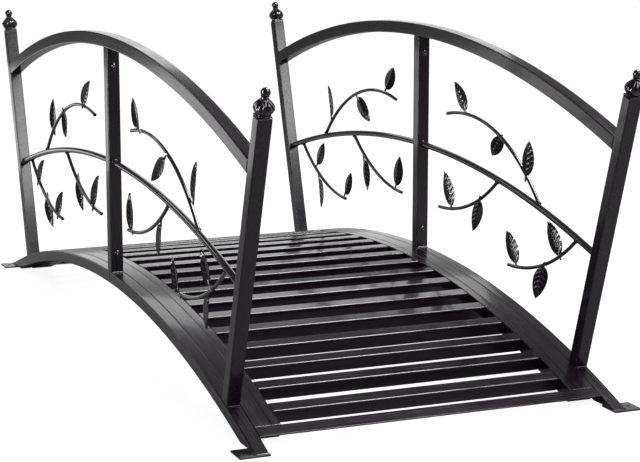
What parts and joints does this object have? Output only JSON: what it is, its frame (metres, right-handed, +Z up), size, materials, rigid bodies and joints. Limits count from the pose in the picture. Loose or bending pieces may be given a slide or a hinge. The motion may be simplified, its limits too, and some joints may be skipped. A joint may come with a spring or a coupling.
{
  "type": "metal garden bridge",
  "caption": "Arched steel garden footbridge with a slatted deck, bolted feet, leaning end posts with finials, bowed handrails and leafy scrollwork.",
  "frame": {"origin": "on the ground under the middle of the bridge", "axes": "+X along the bridge, +Y across it, +Z up"},
  "size_m": [1.6744, 0.738, 0.6038],
  "materials": {
    "powder_coat": "gloss black powder coat"
  },
  "bodies": {
    "root": {"left_arch_near": "powder_coat", "left_arch_far": "powder_coat", "right_arch_near": "powder_coat", "right_arch_far": "powder_coat", "left_foot_near": "powder_coat", "left_foot_far": "powder_coat", "right_foot_near": "powder_coat", "right_foot_far": "powder_coat", "left_edge_near": "powder_coat", "left_edge_far": "powder_coat", "right_edge_near": "powder_coat", "right_edge_far": "powder_coat", "left_strip_near": "powder_coat", "left_strip_far": "powder_coat", "right_strip_near": "powder_coat", "right_strip_far": "powder_coat", "slats_near": "powder_coat", "slats_far": "powder_coat", "end_bar_near": "powder_coat", "end_bar_far": "powder_coat", "left_post_near": "powder_coat", "left_post_far": "powder_coat", "right_post_near": "powder_coat", "right_post_far": "powder_coat", "left_mid_post": "powder_coat", "right_mid_post": "powder_coat", "left_finial_near": "powder_coat", "left_finial_far": "powder_coat", "right_finial_near": "powder_coat", "right_finial_far": "powder_coat", "left_handrail": "powder_coat", "right_handrail": "powder_coat", "left_rod_near": "powder_coat", "left_rod_far": "powder_coat", "right_rod_near": "powder_coat", "right_rod_far": "powder_coat", "left_vines_near": "powder_coat", "left_vines_far": "powder_coat", "right_vines_near": "powder_coat", "right_vines_far": "powder_coat", "left_leaves_near": "powder_coat", "left_leaves_far": "powder_coat", "right_leaves_near": "powder_coat", "right_leaves_far": "powder_coat"}
  },
  "joints": []
}
